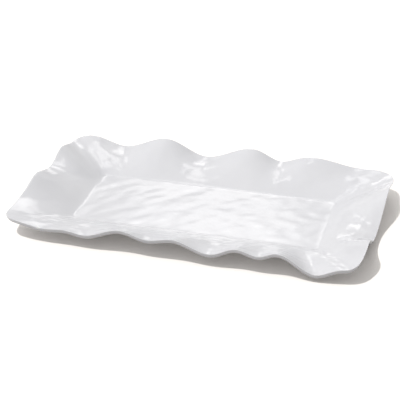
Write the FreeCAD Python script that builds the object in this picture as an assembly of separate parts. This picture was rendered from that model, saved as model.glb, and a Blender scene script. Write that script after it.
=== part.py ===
import FreeCAD, Part
import os
from bisect import bisect_right
from math import atan2, copysign, cos, exp, hypot, log, pi, radians, sin, tan

# Rectangular china serving platter: a flat well, a crisp fold line round it, and a broad wall that
# flares out to a ruffled lip. Millimetres, +Z up. The origin is on the table, under the middle of
# the well; X runs along the long side.

Vec = FreeCAD.Vector

# The well, measured at its fold line
WELL_LENGTH = 360.0
WELL_WIDTH = 145.0
WELL_CORNER = 10.0
FLOOR_TOP = 8.0

# Wall of the ware, glaze included
WARE_THICKNESS = 5.0
GLAZE = 0.4

# The lip ends in a steep face with rounded edges, which tucks in towards its bottom
LIP_DEPTH = 1.3          # how far the face stands out from the middle of the wall
LIP_SQUARENESS = 0.45    # 1 would be a plain half-round lip, and 0 a square one
LIP_BLEND = 0.2          # share of the wall over which the skin turns to meet the face
LIP_TUCK = 2.2           # how far in the bottom of the face stands from its top
LIP_BEAD = 1.2           # how much thicker the ware is at the face than in the wall

# Foot ring under the edge of the well
FOOT_OUTSIDE = -1.5      # outer side of the foot, measured outward from the fold line
FOOT_WIDTH = 6.0
FOOT_TAPER = 0.7         # the bare bottom edge is wiped back by this much
RECESS_DRAFT = 1.0
RECESS_DEPTH = 3.0
BARE_BAND = 1.0          # height of the glaze-free band at the bottom of the foot

# The wall rises quickly from the fold and flattens towards the lip. The ruffles are nil at the
# fold and grow towards the lip.
MEAN_LIP_HEIGHT = 31.0
WALL_ROUNDING = 0.35
RUFFLE_GROWTH = 1.8

# The lip in plan is a superellipse: nearly straight sides and smoothly rounded corners. It sits
# slightly askew on the well, and where it stands high it leans outward.
LIP_LENGTH = 508.0
LIP_WIDTH = 297.0
LIP_CORNERS = 14.0       # the superellipse's power: the higher, the tighter the corners
LONG_SIDES_TURN = 1.0    # degrees clockwise
SHORT_SIDES_TURN = 2.0   # degrees clockwise
RUFFLE_LEAN = 0.1        # outward shift for each millimetre above the mean height

# Crests and hollows of the lip, side by side and anticlockwise: how far along its side each one
# stands, from the side's middle, and the height of the middle of the lip above the table
NEAR_RUFFLES = [(-230, 29), (-185, 24), (-155, 26), (-130, 22), (-75, 38), (-40, 29), (0, 35),
                (55, 21), (85, 34), (120, 28), (140, 36), (195, 11), (230, 23), (250, 24)]
RIGHT_RUFFLES = [(-105, 46), (-65, 27), (-30, 14), (15, 22), (55, 46), (90, 39), (115, 31)]
FAR_RUFFLES = [(225, 31), (195, 30), (130, 38), (105, 34), (75, 26), (40, 39), (-45, 19),
               (-105, 40), (-175, 20), (-230, 32)]
LEFT_RUFFLES = [(115, 30), (80, 38), (35, 27), (-15, 38), (-50, 33), (-110, 28)]

# Lines down the wall run square to the straight sides and fan out round the corners. They start
# from a spine rectangle, this far inside the well.
SPINE_INSET = 50.0
FAN_SOFTNESS = 12.0

# Fineness of the construction
STATIONS = 240           # lines down the wall
OUTLINE_STEPS = 3600     # steps in measuring the way round the lip
SPLINE_DEGREE = 3
RELAXATION_SWEEPS = 60   # passes that settle the slopes of the lip's height
FIT = 1e-6               # how closely edges and shares are held


def lip_reach(angle):
    """The point of the lip's plan outline in a direction from the middle."""
    across = abs(cos(angle)) / (LIP_LENGTH / 2)
    along = abs(sin(angle)) / (LIP_WIDTH / 2)
    reach = (across**LIP_CORNERS + along**LIP_CORNERS) ** (-1 / LIP_CORNERS)
    return Vec(reach * cos(angle), reach * sin(angle), 0)


def lip_normal(point):
    """Outward direction of the plan outline at one of its points."""
    power = LIP_CORNERS - 1
    nx = copysign((abs(point.x) / (LIP_LENGTH / 2))**power / LIP_LENGTH, point.x)
    ny = copysign((abs(point.y) / (LIP_WIDTH / 2))**power / LIP_WIDTH, point.y)
    return Vec(nx, ny, 0).normalize()


def ruffle_angles():
    """Each crest and hollow as its direction from the middle, and its height."""
    half_length, half_width = LIP_LENGTH / 2, LIP_WIDTH / 2
    ruffles = [(atan2(-half_width, place), z) for place, z in NEAR_RUFFLES]
    ruffles += [(atan2(place, half_length), z) for place, z in RIGHT_RUFFLES]
    ruffles += [(atan2(half_width, place), z) for place, z in FAR_RUFFLES]
    ruffles += [(atan2(place, -half_length), z) for place, z in LEFT_RUFFLES]
    return ruffles


def closed_spline(places, values, period):
    """A smooth closed run of values: a function of the place, repeating after the period."""
    count = len(places)
    gaps = [(places[(i + 1) % count] - places[i]) % period for i in range(count)]
    slopes = [0.0] * count
    for _ in range(RELAXATION_SWEEPS):
        for i in range(count):
            before, after = gaps[i - 1], gaps[i]
            pull = (values[i] - values[i - 1]) * 3 / before**2
            pull += (values[(i + 1) % count] - values[i]) * 3 / after**2
            pull -= slopes[i - 1] / before + slopes[(i + 1) % count] / after
            slopes[i] = pull / 2 / (1 / before + 1 / after)

    def at(place):
        along = (place - places[0]) % period
        i = 0
        while along > gaps[i]:
            along -= gaps[i]
            i += 1
        t = along / gaps[i]
        j = (i + 1) % count
        value = values[i] * (1 + 2 * t) * (1 - t)**2 + values[j] * t * t * (3 - 2 * t)
        return value + gaps[i] * t * (1 - t) * (slopes[i] * (1 - t) - slopes[j] * t)

    return at


def lip_points():
    """The middle line of the lip at equal spaces, anticlockwise."""
    angles = [2 * pi * i / OUTLINE_STEPS for i in range(OUTLINE_STEPS + 1)]
    outline = [lip_reach(angle) for angle in angles]
    travelled = [0.0]
    for here, there in zip(outline, outline[1:]):
        travelled.append(travelled[-1] + (there - here).Length)
    total = travelled[-1]

    def distance_to(angle):
        return travelled[round((angle % (2 * pi)) / (2 * pi) * OUTLINE_STEPS)]

    ruffles = ruffle_angles()
    height = closed_spline([distance_to(angle) for angle, _ in ruffles], [z for _, z in ruffles], total)
    points = []
    for k in range(STATIONS):
        along = total * k / STATIONS
        i = bisect_right(travelled, along) - 1
        share = (along - travelled[i]) / (travelled[i + 1] - travelled[i])
        plan = outline[i] + (outline[i + 1] - outline[i]) * share
        z = height(along)
        plan += lip_normal(plan) * (RUFFLE_LEAN * (z - MEAN_LIP_HEIGHT))
        x = plan.x + tan(radians(SHORT_SIDES_TURN)) * plan.y
        y = plan.y - tan(radians(LONG_SIDES_TURN)) * plan.x
        points.append(Vec(x, y, z))
    return points


def soft_clamp(value, limit):
    """The value held between -limit and limit, with an eased knee at each end."""
    over = FAN_SOFTNESS * log(1 + exp((value - limit) / FAN_SOFTNESS))
    under = FAN_SOFTNESS * log(1 + exp((-value - limit) / FAN_SOFTNESS))
    return value - over + under


def outside_well(x, y):
    """How far a point lies outside the fold line (negative when inside)."""
    dx = abs(x) - (WELL_LENGTH / 2 - WELL_CORNER)
    dy = abs(y) - (WELL_WIDTH / 2 - WELL_CORNER)
    return hypot(max(dx, 0), max(dy, 0)) + min(max(dx, dy), 0) - WELL_CORNER


def outline_normal(x, y):
    """Outward direction of the fold line nearest to a point."""
    step = 0.01
    gx = outside_well(x + step, y) - outside_well(x - step, y)
    gy = outside_well(x, y + step) - outside_well(x, y - step)
    return Vec(gx, gy, 0).normalize()


def fold_point(lip):
    """Where the line down the wall from a lip point meets the fold line."""
    spine = Vec(soft_clamp(lip.x, WELL_LENGTH / 2 - SPINE_INSET),
                soft_clamp(lip.y, WELL_WIDTH / 2 - SPINE_INSET), 0)
    reach = Vec(lip.x, lip.y, 0) - spine
    low, high = 0.0, 1.0
    while high - low > FIT:
        middle = (low + high) / 2
        point = spine + reach * middle
        if outside_well(point.x, point.y) < 0:
            low = middle
        else:
            high = middle
    return spine + reach * low


def eased(share):
    """A share held between 0 and 1, easing away from both ends."""
    share = min(max(share, 0), 1)
    return share * share * (3 - 2 * share)


class Wall:
    """The middle surface of the wall: station k round the platter, fraction t up the wall."""

    def __init__(self):
        self.lips = lip_points()
        self.folds = [fold_point(point) for point in self.lips]
        self.outward = [outline_normal(p.x, p.y) for p in self.folds]

    def middle(self, k, t):
        lip, fold = self.lips[k % STATIONS], self.folds[k % STATIONS]
        base = FLOOR_TOP - WARE_THICKNESS / 2
        rise = t * (1 + WALL_ROUNDING * (1 - t))
        z = base + (MEAN_LIP_HEIGHT - base) * rise + (lip.z - MEAN_LIP_HEIGHT) * t**RUFFLE_GROWTH
        return Vec(fold.x + (lip.x - fold.x) * t, fold.y + (lip.y - fold.y) * t, z)

    def directions(self, k, t):
        """The upward normal of the wall, and the level direction that leads off it."""
        step = 0.01
        up_wall = self.middle(k, t + step) - self.middle(k, t - step)
        along = self.middle(k + 1, t) - self.middle(k - 1, t)
        normal = up_wall.cross(along).normalize()
        return normal, Vec(along.y, -along.x, 0).normalize()

    def around(self, k, t, angle, depth):
        """A point of the ware's skin: angle 0 is the upper side, 180 the underside."""
        normal, level = self.directions(k, t)
        lip_share = eased(1 + (t - 1) / LIP_BLEND)
        up = normal + (Vec(0, 0, 1) - normal) * lip_share
        rise = copysign(abs(cos(radians(angle)))**LIP_SQUARENESS, cos(radians(angle)))
        reach = max(sin(radians(angle)), 0)**LIP_SQUARENESS
        half = WARE_THICKNESS / 2 - depth
        lowness = (1 - rise) / 2 * lip_share
        along_up = half * rise - LIP_BEAD * lowness
        outward = (LIP_DEPTH - depth) * reach - LIP_TUCK * lowness
        return self.middle(k, t) + up * along_up + level * outward

    def beside_fold(self, k, distance, z):
        """A point at a level, a distance outward from the fold line (negative is under the well)."""
        fold, outward = self.folds[k], self.outward[k]
        return Vec(fold.x + outward.x * distance, fold.y + outward.y * distance, z)


# Where the skin's loops lie: outward from the fold over the floor (negative is inside the well), as
# fractions up the wall, and as angles round the lip
FLOOR_STEPS = [-8.0, -5.0, -3.2, -1.8, -0.5]
UPPER_STEPS = [0.012, 0.03, 0.055, 0.09, 0.14, 0.20, 0.28, 0.37, 0.46, 0.55, 0.64, 0.72, 0.80, 0.86,
               0.91, 0.95, 0.98]
LIP_ANGLES = [0, 3, 14, 40, 65, 90, 115, 140, 166, 177, 180]
UNDER_STEPS = [0.98, 0.95, 0.91, 0.86, 0.80, 0.72, 0.64, 0.55, 0.46, 0.37, 0.28, 0.20, 0.14, 0.09, 0.05]

# Curve from the underside of the wall into the side of the foot: outward from the fold, and height
FOOT_CURVE = [(2.0, 3.5), (0.0, 2.9), (-1.1, 2.4), (-1.5, 1.8), (-1.5, 1.4)]
FOOT_CURVE_TOP = 2.5     # above this the curve is level enough for the full glaze depth


def skin_loops(wall, depth):
    """Closed loops of the ware's skin, from the well floor over the lip and down to the foot.

    The depth is how far the skin lies below the glazed outside.
    """
    stations = range(STATIONS)
    loops = [[wall.beside_fold(k, r, FLOOR_TOP - depth) for k in stations] for r in FLOOR_STEPS]
    loops += [[wall.around(k, t, 0, depth) for k in stations] for t in UPPER_STEPS]
    loops += [[wall.around(k, 1, angle, depth) for k in stations] for angle in LIP_ANGLES]
    loops += [[wall.around(k, t, 180, depth) for k in stations] for t in UNDER_STEPS]
    for distance, z in FOOT_CURVE:
        lift = depth if z > FOOT_CURVE_TOP else depth / 2
        loops.append([wall.beside_fold(k, distance - depth, z + lift) for k in stations])
    loops.append(level_loop(wall, FOOT_OUTSIDE - depth, BARE_BAND))
    return loops


def level_loop(wall, distance, z):
    return [wall.beside_fold(k, distance, z) for k in range(STATIONS)]


def skin(loops):
    """One smooth face through a stack of closed loops."""
    degree = min(SPLINE_DEGREE, len(loops) - 1)
    poles = [[loop[k] for loop in loops] for k in range(STATIONS)]
    spans = len(loops) - degree
    surface = Part.BSplineSurface()
    surface.buildFromPolesMultsKnots(
        poles,
        [1] * (STATIONS + 1), [degree + 1] + [1] * (spans - 1) + [degree + 1],
        [i / STATIONS for i in range(STATIONS + 1)], [i / spans for i in range(spans + 1)],
        True, False, SPLINE_DEGREE, degree,
    )
    return surface.toShape()


def ring_edge(face, z):
    """The closed edge of a skin at a level."""
    return next(e for e in face.Edges if e.isClosed() and abs(e.Vertexes[0].Z - z) < FIT)


def flat(*edges):
    """A level face inside one closed edge, less any further closed edges."""
    return Part.Face([Part.Wire([edge]) for edge in edges])


def closed_solid(faces):
    shell = Part.makeShell(faces)
    shell.sewShape()
    solid = Part.makeSolid(shell)
    solid.fix(FIT, FIT, FIT)
    if solid.Volume < 0:
        solid.reverse()
    return solid


def build_china_body(wall):
    """The fired clay: floor, wall, lip and foot ring in one piece."""
    clay = skin(skin_loops(wall, GLAZE))
    foot_outer = FOOT_OUTSIDE - GLAZE
    foot_inner = FOOT_OUTSIDE - FOOT_WIDTH
    bare_side = skin([level_loop(wall, foot_outer, BARE_BAND),
                      level_loop(wall, foot_outer - FOOT_TAPER, 0)])
    recess_edge = skin([level_loop(wall, foot_inner, 0),
                        level_loop(wall, recess_at(BARE_BAND), BARE_BAND)])
    recess_side = skin([level_loop(wall, recess_at(BARE_BAND), BARE_BAND),
                        level_loop(wall, recess_at(RECESS_DEPTH), RECESS_DEPTH)])
    return closed_solid([
        clay, flat(ring_edge(clay, FLOOR_TOP - GLAZE)), bare_side,
        flat(ring_edge(bare_side, 0), ring_edge(recess_edge, 0)),
        recess_edge, recess_side, flat(ring_edge(recess_side, RECESS_DEPTH)),
    ])


def recess_at(z):
    """Where the side of the recess under the well stands at a level, outward from the fold."""
    return FOOT_OUTSIDE - FOOT_WIDTH - RECESS_DRAFT * z / RECESS_DEPTH


def build_outer_glaze(wall):
    """The glaze over the eating face, the lip, the outside of the wall and the side of the foot."""
    outside = skin(skin_loops(wall, 0))
    inside = skin(skin_loops(wall, GLAZE))
    return closed_solid([
        outside, flat(ring_edge(outside, FLOOR_TOP)),
        inside, flat(ring_edge(inside, FLOOR_TOP - GLAZE)),
        flat(ring_edge(outside, BARE_BAND), ring_edge(inside, BARE_BAND)),
    ])


def build_base_glaze(wall):
    """The glaze inside the foot ring: the underside of the floor and the side of the recess."""
    inner_z = RECESS_DEPTH - GLAZE
    against_clay = skin([level_loop(wall, recess_at(BARE_BAND), BARE_BAND),
                         level_loop(wall, recess_at(RECESS_DEPTH), RECESS_DEPTH)])
    surface = skin([level_loop(wall, recess_at(BARE_BAND) - GLAZE, BARE_BAND),
                    level_loop(wall, recess_at(inner_z) - GLAZE, inner_z)])
    return closed_solid([
        against_clay, flat(ring_edge(against_clay, RECESS_DEPTH)),
        surface, flat(ring_edge(surface, inner_z)),
        flat(ring_edge(against_clay, BARE_BAND), ring_edge(surface, BARE_BAND)),
    ])


def main():
    os.makedirs("parts", exist_ok=True)
    wall = Wall()
    nodes = {
        "china_body": build_china_body(wall),
        "outer_glaze": build_outer_glaze(wall),
        "base_glaze": build_base_glaze(wall),
    }
    for name, shape in nodes.items():
        shape.exportStep(f"parts/{name}.step")
        box = shape.BoundBox
        print(name, shape.isValid(), round(shape.Volume / 1000, 2), "cm3",
              [round(v, 2) for v in (box.XMin, box.XMax, box.YMin, box.YMax, box.ZMin, box.ZMax)])


main()
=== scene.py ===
import math

import bpy
import numpy as np
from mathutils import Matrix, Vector, noise


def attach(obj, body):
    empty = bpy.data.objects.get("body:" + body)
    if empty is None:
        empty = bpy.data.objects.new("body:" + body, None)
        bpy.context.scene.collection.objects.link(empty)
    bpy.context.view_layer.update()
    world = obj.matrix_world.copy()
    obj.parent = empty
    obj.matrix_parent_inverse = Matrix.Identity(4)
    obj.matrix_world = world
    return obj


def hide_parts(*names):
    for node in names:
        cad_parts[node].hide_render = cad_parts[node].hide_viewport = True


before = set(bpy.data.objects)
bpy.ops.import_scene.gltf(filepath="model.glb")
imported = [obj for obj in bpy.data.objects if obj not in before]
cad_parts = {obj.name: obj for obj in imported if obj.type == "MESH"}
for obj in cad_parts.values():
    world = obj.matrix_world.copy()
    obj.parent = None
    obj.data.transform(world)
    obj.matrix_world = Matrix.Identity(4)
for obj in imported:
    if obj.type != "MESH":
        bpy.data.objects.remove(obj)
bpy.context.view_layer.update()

# Rectangular china serving platter with a ruffled lip. Shapes are worked out in millimetres, in the
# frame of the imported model, and become metres when a mesh is made.
MM = 0.001

# The well, measured at its fold line
WELL_LENGTH = 360.0
WELL_WIDTH = 145.0
WELL_CORNER = 10.0
FLOOR_TOP = 8.0
WELL_HALF = np.array([WELL_LENGTH, WELL_WIDTH]) / 2

# Wall of the ware, glaze included
WARE_THICKNESS = 5.0
GLAZE = 0.4

# The lip ends in a steep face with rounded edges, which tucks in towards its bottom
LIP_DEPTH = 1.3          # how far the face stands out beyond the middle line of the lip
LIP_SQUARENESS = 0.45    # 1 would be a plain half-round lip, and 0 a square one
LIP_BLEND = 0.2          # share of the wall over which the skin turns to meet the face
LIP_TUCK = 2.2           # how far in the bottom of the face stands from its top
LIP_BEAD = 1.2           # how much thicker the ware is at the face than in the wall

# Foot ring under the edge of the well. Distances are outward from the fold line.
FOOT_OUTSIDE = -1.5
FOOT_WIDTH = 6.0
FOOT_TAPER = 0.7
RECESS_DRAFT = 1.0
RECESS_DEPTH = 3.0
BARE_BAND = 1.0

# The wall rises quickly from the fold and flattens towards the lip. The ruffles are nil at the
# fold and grow towards the lip.
MEAN_LIP_HEIGHT = 31.0
WALL_ROUNDING = 0.35
RUFFLE_GROWTH = 1.8
FOLD_SOFTNESS = 1.8      # radius-like size of the eased fold

# The lip in plan is a superellipse. It sits slightly askew on the well, and where it stands high it
# leans outward.
LIP_HALF = np.array([508.0, 297.0]) / 2
LIP_CORNERS = 14.0       # the superellipse's power: a higher one makes sharper corners
LONG_SIDES_TURN = 1.0    # degrees clockwise
SHORT_SIDES_TURN = 2.0   # degrees clockwise
RUFFLE_LEAN = 0.1        # outward shift for each millimetre above the mean height

# Crests and hollows of the lip, side by side and anticlockwise: how far each one stands from the
# middle of its side, along X or Y, and the height of the middle of the lip above the table
NEAR_RUFFLES = [(-230, 29), (-185, 24), (-155, 26), (-130, 22), (-75, 38), (-40, 29), (0, 35),
                (55, 21), (85, 34), (120, 28), (140, 36), (195, 11), (230, 23), (250, 24)]
RIGHT_RUFFLES = [(-105, 46), (-65, 27), (-30, 14), (15, 22), (55, 46), (90, 39), (115, 31)]
FAR_RUFFLES = [(225, 31), (195, 30), (130, 38), (105, 34), (75, 26), (40, 39), (-45, 19),
               (-105, 40), (-175, 20), (-230, 32)]
LEFT_RUFFLES = [(115, 30), (80, 38), (35, 27), (-15, 38), (-50, 33), (-110, 28)]

# Lines down the wall run square to the straight sides and fan out round the corners. They start
# from a spine rectangle, this far inside the well.
SPINE_INSET = 50.0
FAN_SOFTNESS = 12.0      # length over which the fanning sets in

# Unevenness of the hand-formed eating face, and the distances over which it comes and goes
FLOOR_RELIEF = 0.5
WALL_RELIEF = 0.8
WALL_GRAIN_SHARE = 0.4   # how strong the wall's fine grain is beside its broad swell
RIPPLES = 0.7            # on the near side and the right end
FLOOR_CALM = 4.0         # on the floor, up to the fold
WALL_CALM = 25.0         # on the wall, from the fold
RIPPLE_CALM = 20.0       # on the wall, from the fold, for the ripples
LIP_CALM = 14.0          # on the wall, up to the lip

# The floor has mostly streaks at its left and more dimples at its right: where that changes, over
# what length, and the strengths at the left and at the right
RELIEF_CHANGE_AT = -40.0
RELIEF_CHANGE_OVER = 60.0
STREAKS = (1.4, 0.4)
DIMPLES = (0.5, 0.7)

# Blobs of smooth noise in the relief: size, how many times longer than wide, the direction they are
# drawn out in (degrees), and a seed
FLOOR_STREAKS = (17, 2.6, 50, 3.1)
FLOOR_DIMPLES = (15, 1.3, 20, 7.7)
FLOOR_SWELL = (70, 1.4, 80, 1.3)
WALL_SWELL = (30, 1.6, 15, 5.5)
WALL_GRAIN = (13, 1.5, 60, 9.2)
NEAR_RIPPLES = (7, 4.0, 3, 2.4)
RIGHT_RIPPLES = (10, 1.8, 70, 6.1)

# Mesh density: faces along the long and short sides of the well, and rows of faces up the wall and
# down its underside, on the glazed outside and on the hidden skins
FACES_X = 160
FACES_Y = 64
FLOOR_INSET = 16.0       # from the fold to the floor's rectangular grid
WALL_ROWS, HIDDEN_WALL_ROWS = 32, 20
UNDER_ROWS, HIDDEN_UNDER_ROWS = 18, 10

# Fineness of the construction
OUTLINE_STEPS = 7200     # steps in measuring the way round the lip
FOLD_STEPS = 6000        # steps in measuring the way round the fold line
HALVINGS = 40            # steps in finding where a line down the wall meets the fold line


# ---- Small helpers

def unit(vectors):
    return vectors / np.linalg.norm(vectors, axis=-1, keepdims=True)


def eased(share):
    """Shares held between 0 and 1, easing away from both ends."""
    share = np.clip(share, 0, 1)
    return share * share * (3 - 2 * share)


def soft_over(value, softness):
    """The part of a value above nought, with an eased knee."""
    return softness * np.logaddexp(0, np.asarray(value) / softness)


# ---- The lip

def lip_outline(angles):
    """Points of the lip's plan outline in directions from the middle."""
    facing = np.column_stack([np.cos(angles), np.sin(angles)])
    reach = (np.abs(facing / LIP_HALF)**LIP_CORNERS).sum(axis=1) ** (-1 / LIP_CORNERS)
    return facing * reach[:, None]


def lip_normals(outline):
    """Outward directions of the plan outline at some of its points."""
    share = outline / LIP_HALF
    return unit(np.sign(share) * np.abs(share)**(LIP_CORNERS - 1) / LIP_HALF)


def side_angle(side, place):
    """Direction from the middle to a place along one side of the lip."""
    length, width = LIP_HALF
    spot = {"near": (place, -width), "right": (length, place),
            "far": (place, width), "left": (-length, place)}[side]
    return math.atan2(spot[1], spot[0]) % (2 * math.pi)


def closed_spline(places, values, period):
    """A smooth closed run of values: a function of places, repeating after the period."""
    count = len(places)
    rows = np.arange(count)
    after = (np.roll(places, -1) - places) % period
    before = np.roll(after, 1)
    matrix = np.zeros((count, count))
    matrix[rows, rows - 1] = 1 / before
    matrix[rows, rows] = 2 / before + 2 / after
    matrix[rows, (rows + 1) % count] = 1 / after
    ahead, behind = np.roll(values, -1) - values, values - np.roll(values, 1)
    slopes = np.linalg.solve(matrix, 3 * behind / before**2 + 3 * ahead / after**2)
    starts = np.concatenate([[0.0], np.cumsum(after)])

    def at(place):
        along = (place - places[0]) % period
        i = np.clip(np.searchsorted(starts, along, side="right") - 1, 0, count - 1)
        j = (i + 1) % count
        t = (along - starts[i]) / after[i]
        value = values[i] * (1 + 2 * t) * (1 - t)**2 + values[j] * t * t * (3 - 2 * t)
        return value + after[i] * t * (1 - t) * (slopes[i] * (1 - t) - slopes[j] * t)

    return at


class Lip:
    """The middle line of the lip, by distance travelled anticlockwise round it."""

    def __init__(self):
        self.angles = np.linspace(0, 2 * np.pi, OUTLINE_STEPS + 1)
        self.outline = lip_outline(self.angles)
        gaps = np.linalg.norm(np.diff(self.outline, axis=0), axis=1)
        self.travelled = np.concatenate([[0.0], np.cumsum(gaps)])
        self.total = self.travelled[-1]
        sides = {"near": NEAR_RUFFLES, "right": RIGHT_RUFFLES, "far": FAR_RUFFLES, "left": LEFT_RUFFLES}
        ruffles = [(self.distance(side, place), z) for side, row in sides.items() for place, z in row]
        places, heights = np.array(ruffles, float).T
        self.height = closed_spline(places, heights, self.total)

    def distance(self, side, place):
        """How far round the lip a place along one side is."""
        return np.interp(side_angle(side, place), self.angles, self.travelled)

    def points(self, along):
        """Points of the middle line at distances travelled."""
        plan = np.column_stack([np.interp(along, self.travelled, self.outline[:, i]) for i in (0, 1)])
        z = self.height(along)
        plan = plan + lip_normals(plan) * (RUFFLE_LEAN * (z - MEAN_LIP_HEIGHT))[:, None]
        x = plan[:, 0] + math.tan(math.radians(SHORT_SIDES_TURN)) * plan[:, 1]
        y = plan[:, 1] - math.tan(math.radians(LONG_SIDES_TURN)) * plan[:, 0]
        return np.column_stack([x, y, z])


# ---- The fold line and the lines down the wall

def soft_clamp(value, limit):
    """Values held between -limit and limit, with an eased knee at each end."""
    return value - soft_over(value - limit, FAN_SOFTNESS) + soft_over(-value - limit, FAN_SOFTNESS)


def outside_well(xy):
    """How far points lie outside the fold line (negative when inside)."""
    past = np.abs(xy) - (WELL_HALF - WELL_CORNER)
    return np.linalg.norm(np.maximum(past, 0), axis=1) + np.minimum(past.max(axis=1), 0) - WELL_CORNER


def fold_normals(xy):
    """Outward directions of the fold line nearest to points."""
    step = 0.01
    slopes = [outside_well(xy + step * axis) - outside_well(xy - step * axis) for axis in np.eye(2)]
    return unit(np.stack(slopes, axis=1))


def fold_points(lips):
    """Where the lines down the wall from lip points meet the fold line."""
    spine = soft_clamp(lips[:, :2], WELL_HALF - SPINE_INSET)
    reach = lips[:, :2] - spine
    low, high = np.zeros(len(lips)), np.ones(len(lips))
    for _ in range(HALVINGS):
        middle = (low + high) / 2
        inside = outside_well(spine + reach * middle[:, None]) < 0
        low, high = np.where(inside, middle, low), np.where(inside, high, middle)
    return spine + reach * low[:, None]


def station_distances(lip):
    """Distances round the lip whose fold points are evenly spaced along each side of the well."""
    along = np.linspace(0, lip.total, FOLD_STEPS + 1)
    folds = fold_points(lip.points(along))
    travelled = np.concatenate([[0], np.cumsum(np.linalg.norm(np.diff(folds, axis=0), axis=1))])
    reach = WELL_HALF - WELL_CORNER * (1 - math.sqrt(0.5))
    corners = [np.array(corner) * reach for corner in ((-1, -1), (1, -1), (1, 1), (-1, 1))]
    at = [travelled[np.argmin(np.linalg.norm(folds - corner, axis=1))] for corner in corners]
    first, total = at[0], travelled[-1]
    ends = [first] + [first + (place - first) % total for place in at[1:]] + [first + total]
    runs = [np.linspace(start, end, faces, endpoint=False)
            for start, end, faces in zip(ends, ends[1:], (FACES_X, FACES_Y) * 2)]
    return np.interp(np.concatenate(runs) % travelled[-1], travelled, along)


# The stations are the places round the platter where every loop of its skin has a point. Each has a
# point on the lip, one on the fold line, the direction outward there, and the run of the wall: its
# width in plan.
LIP = Lip()
LIPS = LIP.points(station_distances(LIP))
FOLDS = fold_points(LIPS)
OUTWARD = fold_normals(FOLDS)
RUN = np.linalg.norm(LIPS[:, :2] - FOLDS, axis=1)
COUNT = len(LIPS)


# ---- The ware's skin

def middle(distance):
    """The middle surface of the ware at a distance outward from the fold at each station."""
    share = soft_over(distance, FOLD_SOFTNESS) / RUN
    base = FLOOR_TOP - WARE_THICKNESS / 2
    z = base + (MEAN_LIP_HEIGHT - base) * share * (1 + WALL_ROUNDING * (1 - share))
    z = z + (LIPS[:, 2] - MEAN_LIP_HEIGHT) * share**RUFFLE_GROWTH
    xy = FOLDS + (LIPS[:, :2] - FOLDS) * (distance / RUN)[:, None]
    return np.column_stack([xy, z])


def around(distance, angle, depth):
    """A loop of the ware's skin, at a depth below the glazed outside. Angle 0 is the upper side
    and 180 the underside. Between them lies the face of the lip."""
    step = 0.2
    here = middle(distance)
    up_wall = middle(distance + step) - middle(distance - step)
    along = np.roll(here, -1, axis=0) - np.roll(here, 1, axis=0)
    normal = unit(np.cross(up_wall, along))
    level = unit(np.column_stack([along[:, 1], -along[:, 0], np.zeros(COUNT)]))
    lip_share = eased(1 + (distance / RUN - 1) / LIP_BLEND)[:, None]
    up = normal + (np.array([0, 0, 1]) - normal) * lip_share
    turn = math.radians(angle)
    rise = math.copysign(abs(math.cos(turn))**LIP_SQUARENESS, math.cos(turn))
    reach = max(math.sin(turn), 0)**LIP_SQUARENESS
    half = WARE_THICKNESS / 2 - depth
    lowness = (1 - rise) / 2 * lip_share
    outward = (LIP_DEPTH - depth) * reach - LIP_TUCK * lowness
    return here + up * (half * rise - LIP_BEAD * lowness) + level * outward


def level_loop(distance, z):
    """A loop at one level and one distance outward from the fold."""
    return np.column_stack([FOLDS + OUTWARD * distance, np.full(COUNT, float(z))])


def grid_lines():
    """The lines of the floor's rectangular grid."""
    half = WELL_HALF - FLOOR_INSET
    return np.linspace(-half[0], half[0], FACES_X + 1), np.linspace(-half[1], half[1], FACES_Y + 1)


def grid_edge():
    """The edge of the floor's grid, one point a station."""
    xs, ys = grid_lines()
    near = [(x, ys[0]) for x in xs[:-1]]
    right = [(xs[-1], y) for y in ys[:-1]]
    far = [(x, ys[-1]) for x in xs[:0:-1]]
    left = [(xs[0], y) for y in ys[:0:-1]]
    return np.array(near + right + far + left)


def grid_points(z):
    """The points of the floor's grid, at one level."""
    xs, ys = grid_lines()
    xx, yy = np.meshgrid(xs, ys)
    return np.column_stack([xx.ravel(), yy.ravel(), np.full(xx.size, float(z))])


# Where the skin's loops lie: shares of the way from the floor's grid to the fold, distances outward
# from the fold beside it, and angles round the lip
FLOOR_SHARES = [0.0, 0.25, 0.5, 0.75]
BESIDE_FOLD = [-6.0, -4.6, -3.5, -2.6, -1.8, -1.1, -0.4, 0.3, 1.0, 1.8, 2.7, 3.8, 5.2]
LIP_ANGLES = [0, 1, 4, 10, 20, 34, 52, 72, 90, 108, 128, 146, 160, 170, 176, 179, 180]

# The underside of the wall begins this far outward from the fold. From there the skin curves down
# into the side of the foot, in steps of distance outward and height.
UNDER_START = 3.0
FOOT_CURVE = [(1.0, 3.25), (0.0, 2.85), (-0.8, 2.4), (-1.25, 1.9), (-1.5, 1.4)]


def skin_rows(depth, fine):
    """Loops of the ware's skin from the floor's grid over the lip to the foot, and how many of
    them belong to the eating face."""
    edge = grid_edge()
    fold_start = FOLDS + OUTWARD * BESIDE_FOLD[0]
    loops = []
    for share in FLOOR_SHARES:
        xy = edge + (fold_start - edge) * share
        loops.append(np.column_stack([xy, np.full(COUNT, FLOOR_TOP - depth)]))
    beside = BESIDE_FOLD if fine else BESIDE_FOLD[::2]
    loops += [around(np.full(COUNT, distance), 0, depth) for distance in beside]
    steps = WALL_ROWS if fine else HIDDEN_WALL_ROWS
    for i in range(1, steps):
        loops.append(around(beside[-1] + (RUN - beside[-1]) * i / steps, 0, depth))
    face = len(loops)
    loops += [around(RUN, angle, depth) for angle in (LIP_ANGLES if fine else LIP_ANGLES[::2])]
    steps = UNDER_ROWS if fine else HIDDEN_UNDER_ROWS
    for i in range(1, steps + 1):
        loops.append(around(UNDER_START + (RUN - UNDER_START) * (1 - i / steps), 180, depth))
    loops += [level_loop(distance - depth, z) for distance, z in FOOT_CURVE]
    loops.append(level_loop(FOOT_OUTSIDE - depth, BARE_BAND))
    return loops, face


# ---- Relief of the eating face

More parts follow.
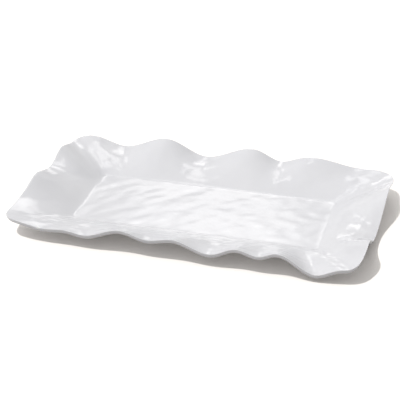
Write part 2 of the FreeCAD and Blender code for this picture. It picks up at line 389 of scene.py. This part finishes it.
def grain(points, size, stretch, angle, seed):
    """Smooth noise, -1..1, in blobs of a size (mm) drawn out along an angle."""
    c, s = math.cos(math.radians(angle)), math.sin(math.radians(angle))
    u = (points[:, 0] * c + points[:, 1] * s) / (size * stretch)
    v = (-points[:, 0] * s + points[:, 1] * c) / size
    return np.array([noise.noise(Vector((a, b, seed))) for a, b in zip(u, v)])


def floor_relief(points):
    """The hand-pressed undulation of the floor, mm."""
    rightness = 0.5 + 0.5 * np.tanh((points[:, 0] - RELIEF_CHANGE_AT) / RELIEF_CHANGE_OVER)
    streaks = grain(points, *FLOOR_STREAKS) * (STREAKS[0] + (STREAKS[1] - STREAKS[0]) * rightness)
    dimples = grain(points, *FLOOR_DIMPLES) * (DIMPLES[0] + (DIMPLES[1] - DIMPLES[0]) * rightness)
    return FLOOR_RELIEF * (streaks + dimples + grain(points, *FLOOR_SWELL))


def wall_relief(points, distance):
    """Small unevenness of the hand-formed wall, with ripples on the near side and right end, mm."""
    near = eased((-points[:, 1] - WELL_HALF[1]) / RIPPLE_CALM)
    right = eased((points[:, 0] - WELL_HALF[0]) / RIPPLE_CALM) * (1 - near)
    ripples = grain(points, *NEAR_RIPPLES) * near + grain(points, *RIGHT_RIPPLES) * right
    broad = grain(points, *WALL_SWELL) + WALL_GRAIN_SHARE * grain(points, *WALL_GRAIN)
    return (WALL_RELIEF * broad + RIPPLES * ripples) * np.clip(distance / WALL_CALM, 0, 1)


def add_relief(loop):
    """Lifts a loop of the eating face by its relief."""
    out = outside_well(loop[:, :2])
    floor = floor_relief(loop) * np.clip(-out / FLOOR_CALM, 0, 1)
    wall = wall_relief(loop, np.maximum(out, 0)) * eased((RUN - out) / LIP_CALM)
    loop[:, 2] += floor + wall


# ---- Pieces

class Shell:
    """Collects the points and faces of one piece."""

    def __init__(self):
        self.points, self.faces = [], []

    def add(self, points):
        """Adds points. Returns the number of the first."""
        start = len(self.points)
        self.points.extend(map(tuple, points))
        return start

    def bridge(self, a, b, flip):
        """Faces between two loops given by their point numbers."""
        for k in range(len(a)):
            j = (k + 1) % len(a)
            quad = (a[k], a[j], b[j], b[k])
            self.faces.append(quad[::-1] if flip else quad)

    def tube(self, loops, flip, first=None):
        """Faces through a stack of loops. Returns the loops' point numbers."""
        rows = [] if first is None else [first]
        for loop in loops:
            start = self.add(loop)
            rows.append(list(range(start, start + len(loop))))
        for a, b in zip(rows, rows[1:]):
            self.bridge(a, b, flip)
        return rows

    def floor(self, points, flip):
        """A rectangular grid. Returns its edge as a loop that matches the stations."""
        start = self.add(points)

        def number(i, j):
            return start + j * (FACES_X + 1) + i

        for j in range(FACES_Y):
            for i in range(FACES_X):
                quad = (number(i, j), number(i + 1, j), number(i + 1, j + 1), number(i, j + 1))
                self.faces.append(quad[::-1] if flip else quad)
        near = [number(i, 0) for i in range(FACES_X)]
        right = [number(FACES_X, j) for j in range(FACES_Y)]
        far = [number(i, FACES_Y) for i in range(FACES_X, 0, -1)]
        left = [number(0, j) for j in range(FACES_Y, 0, -1)]
        return near + right + far + left

    def build(self, name):
        """Makes the piece."""
        mesh = bpy.data.meshes.new(name)
        mesh.from_pydata([(x * MM, y * MM, z * MM) for x, y, z in self.points], [], self.faces)
        mesh.validate()
        mesh.polygons.foreach_set("use_smooth", [True] * len(mesh.polygons))
        piece = bpy.data.objects.new(name, mesh)
        bpy.context.scene.collection.objects.link(piece)
        return piece


# Rounded edges, level by level
FOOT_OUTER_EDGE = [(0.15, 0.6), (0.45, 0.2), (1.0, 0.0)]    # share of the foot's taper, and height
FOOT_INNER_EDGE = (0.1, 0.3)                                # distance cut off, and height
CEILING_EDGE = [(0.1, 2.3), (0.5, RECESS_DEPTH - GLAZE)]    # distance cut off, and height
RECESS_MIDDLE = 2.0      # heights of the loops part of the way up the recess, on the clay and
GLAZE_MIDDLE = 1.8       # on the glaze


def recess_at(z):
    """Where the side of the recess under the well stands at a level, outward from the fold."""
    return FOOT_OUTSIDE - FOOT_WIDTH - RECESS_DRAFT * z / RECESS_DEPTH


def ware_skin(shell, depth, fine, inward):
    """The ware's skin at a depth below the glazed outside. Returns its bottom loop."""
    floor = grid_points(FLOOR_TOP - depth)
    floor[:, 2] += floor_relief(floor)
    edge = shell.floor(floor, inward)
    loops, face = skin_rows(depth, fine)
    for loop in loops[:face]:
        add_relief(loop)
    return shell.tube(loops[1:], not inward, first=edge)[-1]


def build_outer_glaze():
    """The glaze over the eating face, the lip, the outside of the wall and the side of the foot."""
    shell = Shell()
    outside = ware_skin(shell, 0, True, False)
    inside = ware_skin(shell, GLAZE, False, True)
    shell.bridge(outside, inside, True)
    return shell.build("glaze_over_ware")


def build_body():
    """The fired clay, which shows only at the wiped bottom of the foot ring."""
    shell = Shell()
    side = ware_skin(shell, GLAZE, False, False)
    outer = FOOT_OUTSIDE - GLAZE
    foot = [(outer - share * FOOT_TAPER, z) for share, z in FOOT_OUTER_EDGE]
    foot += [((foot[-1][0] + recess_at(0)) / 2, 0.0), (recess_at(0), 0.0)]
    cut, z = FOOT_INNER_EDGE
    foot.append((recess_at(z) - cut, z))
    foot += [(recess_at(z), z) for z in (BARE_BAND, RECESS_MIDDLE, RECESS_DEPTH)]
    rows = shell.tube([level_loop(d, z) for d, z in foot], True, first=side)
    ceiling = shell.floor(grid_points(RECESS_DEPTH), True)
    shell.bridge(rows[-1], ceiling, True)
    return shell.build("china_body_piece")


def build_base_glaze():
    """The glaze inside the foot ring."""
    shell = Shell()
    against = [(recess_at(z), z) for z in (BARE_BAND, RECESS_MIDDLE, RECESS_DEPTH)]
    rows = shell.tube([level_loop(d, z) for d, z in against], False)
    ceiling = shell.floor(grid_points(RECESS_DEPTH), False)
    shell.bridge(rows[-1], ceiling, False)
    surface = [(recess_at(z) - GLAZE, z) for z in (BARE_BAND, GLAZE_MIDDLE)]
    surface += [(recess_at(z) - GLAZE - cut, z) for cut, z in CEILING_EDGE]
    inner_rows = shell.tube([level_loop(d, z) for d, z in surface], True)
    under = shell.floor(grid_points(RECESS_DEPTH - GLAZE), True)
    shell.bridge(inner_rows[-1], under, True)
    shell.bridge(rows[0], inner_rows[0], True)
    return shell.build("glaze_inside_foot")


# ---- Materials

# Darker and lighter colour of each material's faint cloudiness, and where the noise reaches them
GLAZE_WHITES = (0.588, 0.594, 0.624), (0.618, 0.623, 0.65)
CLAY_CREAMS = (0.60, 0.56, 0.50), (0.72, 0.69, 0.63)
TABLE_WHITES = (0.96, 0.94, 0.918), (0.97, 0.95, 0.93)
CLOUD_ENDS = (0.3, 0.7)

# Heights of the materials' finest unevenness, metres
ORANGE_PEEL = 0.00006
GLAZE_GRAIN = 0.000006
CLAY_GRAIN = 0.00008


class Nodes:
    """Short names for building a node tree."""

    def __init__(self, tree, coords):
        self.tree = tree
        self.coords = self.new("TexCoord").outputs[coords]

    def new(self, kind):
        return self.tree.nodes.new("ShaderNode" + kind)

    def feed(self, socket, value):
        """Sets an input to a number or a colour, or links it to another node's output."""
        if isinstance(value, bpy.types.NodeSocket):
            self.tree.links.new(value, socket)
        else:
            socket.default_value = value

    def noise(self, scale, detail=2.0, roughness=0.5):
        node = self.new("TexNoise")
        for name, value in (("Scale", scale), ("Detail", detail), ("Roughness", roughness),
                            ("Vector", self.coords)):
            self.feed(node.inputs[name], value)
        return node.outputs["Fac"]

    def clouds(self, value, colours):
        """A change between two colours that follows a value."""
        node = self.new("ValToRGB")
        for element, position, colour in zip(node.color_ramp.elements, CLOUD_ENDS, colours):
            element.position = position
            element.color = (*colour, 1)
        self.feed(node.inputs["Fac"], value)
        return node.outputs["Color"]

    def spread(self, value, start, end, low, high, ease="LINEAR"):
        """A change from low to high as the value goes from start to end."""
        node = self.new("MapRange")
        node.interpolation_type = ease
        for name, number in (("From Min", start), ("From Max", end), ("To Min", low),
                             ("To Max", high), ("Value", value)):
            self.feed(node.inputs[name], number)
        return node.outputs["Result"]

    def bump(self, height, distance, normal=None):
        node = self.new("Bump")
        self.feed(node.inputs["Distance"], distance)
        self.feed(node.inputs["Height"], height)
        if normal is not None:
            self.feed(node.inputs["Normal"], normal)
        return node.outputs["Normal"]

    def math(self, operation, a, b=0.0):
        node = self.new("Math")
        node.operation = operation
        self.feed(node.inputs[0], a)
        self.feed(node.inputs[1], b)
        return node.outputs["Value"]

    def scaled(self, colour, factor):
        node = self.new("VectorMath")
        node.operation = "SCALE"
        self.feed(node.inputs["Vector"], colour)
        self.feed(node.inputs["Scale"], factor)
        return node.outputs["Vector"]

    def along(self, direction):
        """How far the coordinates point along a direction."""
        node = self.new("VectorMath")
        node.operation = "DOT_PRODUCT"
        self.feed(node.inputs[0], self.coords)
        self.feed(node.inputs[1], Vector(direction).normalized())
        return node.outputs["Value"]


def new_material(name):
    """A material, the builder of its node tree and its shader's inputs."""
    material = bpy.data.materials.new(name)
    material.use_nodes = True
    tree = material.node_tree
    return material, Nodes(tree, "Object"), tree.nodes["Principled BSDF"].inputs


def glaze_material():
    """Glossy white glaze: faint cloudiness, slightly uneven gloss and a trace of orange peel."""
    material, n, shader = new_material("white_glaze")
    n.feed(shader["Base Color"], n.clouds(n.noise(scale=14, detail=3), GLAZE_WHITES))
    n.feed(shader["Roughness"], n.spread(n.noise(scale=45, detail=4), 0, 1, low=0.05, high=0.11))
    peel = n.bump(n.noise(scale=180, detail=2), ORANGE_PEEL)
    n.feed(shader["Normal"], n.bump(n.noise(scale=1400, detail=1), GLAZE_GRAIN, peel))
    n.feed(shader["IOR"], 1.5)
    return material


def clay_material():
    """Bare fired clay: matt, cream and fine grained."""
    material, n, shader = new_material("bare_china")
    n.feed(shader["Base Color"], n.clouds(n.noise(scale=900, detail=6, roughness=0.7), CLAY_CREAMS))
    n.feed(shader["Roughness"], n.spread(n.noise(scale=300, detail=4), 0, 1, low=0.65, high=0.9))
    n.feed(shader["Normal"], n.bump(n.noise(scale=2500, detail=4, roughness=0.7), CLAY_GRAIN))
    return material


# ---- Stage, camera and lights

# The camera looks down at the near side from a little to the right
CAMERA_AZIMUTH = 15.0
CAMERA_ELEVATION = 27.4
CAMERA_DISTANCE = 1.84
CAMERA_LENS = 111.0
CAMERA_AIM = Vector((-0.019, 0.043, 0.0))

# The key light stands high at the near left
KEY_DIRECTION = (-0.305, -0.371, 1.0)
KEY_STRENGTH = 2.01
KEY_ANGLE = 1.2
KEY_COLOUR = (1.0, 0.985, 0.96)

# The table throws less light onto the ware than it shows, and glows faintly to the camera alone
# The glow is painted light: it lifts and warms the shadow cast on the table.
TABLE_HALF = 4.0
TABLE_BOUNCE = 0.6
TABLE_PAINTED_GLOW = 0.11
TABLE_PAINTED_GLOW_COLOUR = (1.0, 0.93, 0.86, 1)

# General light of the studio, along each axis: where it changes, and from what to what
SKY_STRENGTH = 0.9
SKY_COLOUR = (1.0, 0.99, 0.98, 1)
FILL_UPWARD = (0.1, 0.8, 0.24, 0.88, "SMOOTHSTEP")
FILL_RIGHTWARD = (-0.8, 0.8, 1.5, 0.3)
FILL_BACKWARD = (-0.8, 0.8, 1.2, 0.9)

# Lit panels at the back: azimuths, elevations (degrees), softness and strength
PANELS = {
    "window": ((-19, -9.5), (25, 42), 0.05, 2.2),
    "sill": ((-17, -10), (6, 14), 0.02, 1.3),
    "low wall": ((-40, -8), (-10, 22), 0.05, 0.6),
    "side wall": ((-7, 30), (-10, 36), 0.05, 0.7),
}

# Round lamps at the back: azimuth, elevation, radius (degrees) and strength. A lamp's light is full
# and gone at these shares of its radius.
LAMPS = [(-13, 37, 5, 1.4), (-29, 61, 2.5, 3.0), (-17, 55, 5, 2.7), (-28, 46, 3, 2.4)]
LAMP_CORE, LAMP_EDGE = 0.5, 1.3


def bearing(azimuth, elevation):
    """The direction at an azimuth (clockwise from +Y, seen from above) and an elevation, degrees."""
    a, e = math.radians(azimuth), math.radians(elevation)
    return Vector((math.sin(a) * math.cos(e), math.cos(a) * math.cos(e), math.sin(e)))


def build_stage():
    """The white table that the platter stands on."""
    corners = [(x * TABLE_HALF, y * TABLE_HALF, 0) for x, y in ((-1, -1), (1, -1), (1, 1), (-1, 1))]
    mesh = bpy.data.meshes.new("table")
    mesh.from_pydata(corners, [], [(0, 1, 2, 3)])
    table = bpy.data.objects.new("table", mesh)
    bpy.context.scene.collection.objects.link(table)
    material, n, shader = new_material("table_white")
    paper = n.clouds(n.noise(scale=3, detail=2), TABLE_WHITES)
    light_path = n.new("LightPath").outputs
    bounce = n.spread(light_path["Is Diffuse Ray"], 0, 1, 1, TABLE_BOUNCE)
    n.feed(shader["Base Color"], n.scaled(paper, bounce))
    # Painted light: a warm glow that only the camera sees, which lightens the table's cast shadow
    n.feed(shader["Emission Color"], TABLE_PAINTED_GLOW_COLOUR)
    n.feed(shader["Emission Strength"], n.math("MULTIPLY", light_path["Is Camera Ray"], TABLE_PAINTED_GLOW))
    n.feed(shader["Roughness"], 0.8)
    n.feed(shader["Specular IOR Level"], 0.1)
    mesh.materials.append(material)


def build_camera():
    back = -bearing(-CAMERA_AZIMUTH, -CAMERA_ELEVATION)
    data = bpy.data.cameras.new("camera")
    data.sensor_width = 36.0
    data.lens = CAMERA_LENS
    camera = bpy.data.objects.new("camera", data)
    camera.location = CAMERA_AIM + back * CAMERA_DISTANCE
    camera.rotation_euler = back.to_track_quat("Z", "Y").to_euler()
    bpy.context.scene.collection.objects.link(camera)
    bpy.context.scene.camera = camera


def build_key_light():
    sun = bpy.data.lights.new("key", "SUN")
    sun.energy = KEY_STRENGTH
    sun.angle = math.radians(KEY_ANGLE)
    sun.color = KEY_COLOUR
    key = bpy.data.objects.new("key", sun)
    key.rotation_euler = Vector(KEY_DIRECTION).to_track_quat("Z", "Y").to_euler()
    bpy.context.scene.collection.objects.link(key)


def panel(n, azimuths, elevations, softness, strength):
    """A bright panel in the sky between two azimuths and two elevations, degrees."""
    up = n.along((0, 0, 1))
    low, high = (math.sin(math.radians(elevation)) for elevation in elevations)
    edges = [(n.along(bearing(azimuths[0] + 90, 0)), 0, 1),
             (n.along(bearing(azimuths[1] - 90, 0)), 0, 1),
             (up, low, 1),
             (up, high, -1)]
    light = strength
    for value, edge, sense in edges:
        start, end = edge - sense * softness, edge + sense * softness
        light = n.math("MULTIPLY", n.spread(value, start, end, 0, 1, "SMOOTHSTEP"), light)
    return light


def lamp(n, azimuth, elevation, radius, strength):
    """A soft round lamp in the sky. Its radius is in degrees."""
    edge, core = (math.cos(math.radians(radius * share)) for share in (LAMP_EDGE, LAMP_CORE))
    return n.spread(n.along(bearing(azimuth, elevation)), edge, core, 0, strength, "SMOOTHSTEP")


def build_studio():
    """A pale studio: dim low down and to the right, bright overhead, with lit panels and lamps at
    the back."""
    world = bpy.data.worlds.new("studio")
    world.use_nodes = True
    n = Nodes(world.node_tree, "Generated")
    light = n.spread(n.along((0, 0, 1)), *FILL_UPWARD)
    light = n.math("MULTIPLY", light, n.spread(n.along((1, 0, 0)), *FILL_RIGHTWARD))
    light = n.math("MULTIPLY", light, n.spread(n.along((0, 1, 0)), *FILL_BACKWARD))
    for row in PANELS.values():
        light = n.math("ADD", light, panel(n, *row))
    for row in LAMPS:
        light = n.math("ADD", light, lamp(n, *row))
    background = world.node_tree.nodes["Background"].inputs
    n.feed(background["Color"], SKY_COLOUR)
    n.feed(background["Strength"], n.math("MULTIPLY", light, SKY_STRENGTH))
    bpy.context.scene.world = world


def main():
    glaze, clay = glaze_material(), clay_material()
    pieces = [
        (build_outer_glaze(), "outer_glaze", "white_glaze", glaze),
        (build_body(), "china_body", "bare_china", clay),
        (build_base_glaze(), "base_glaze", "white_glaze", glaze),
    ]
    for piece, node, slot, material in pieces:
        piece.data.materials.append(material)
        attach(piece, "root")
        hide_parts(node)
    build_stage()
    build_camera()
    build_key_light()
    build_studio()
    bpy.context.scene.view_settings.view_transform = "Standard"


main()
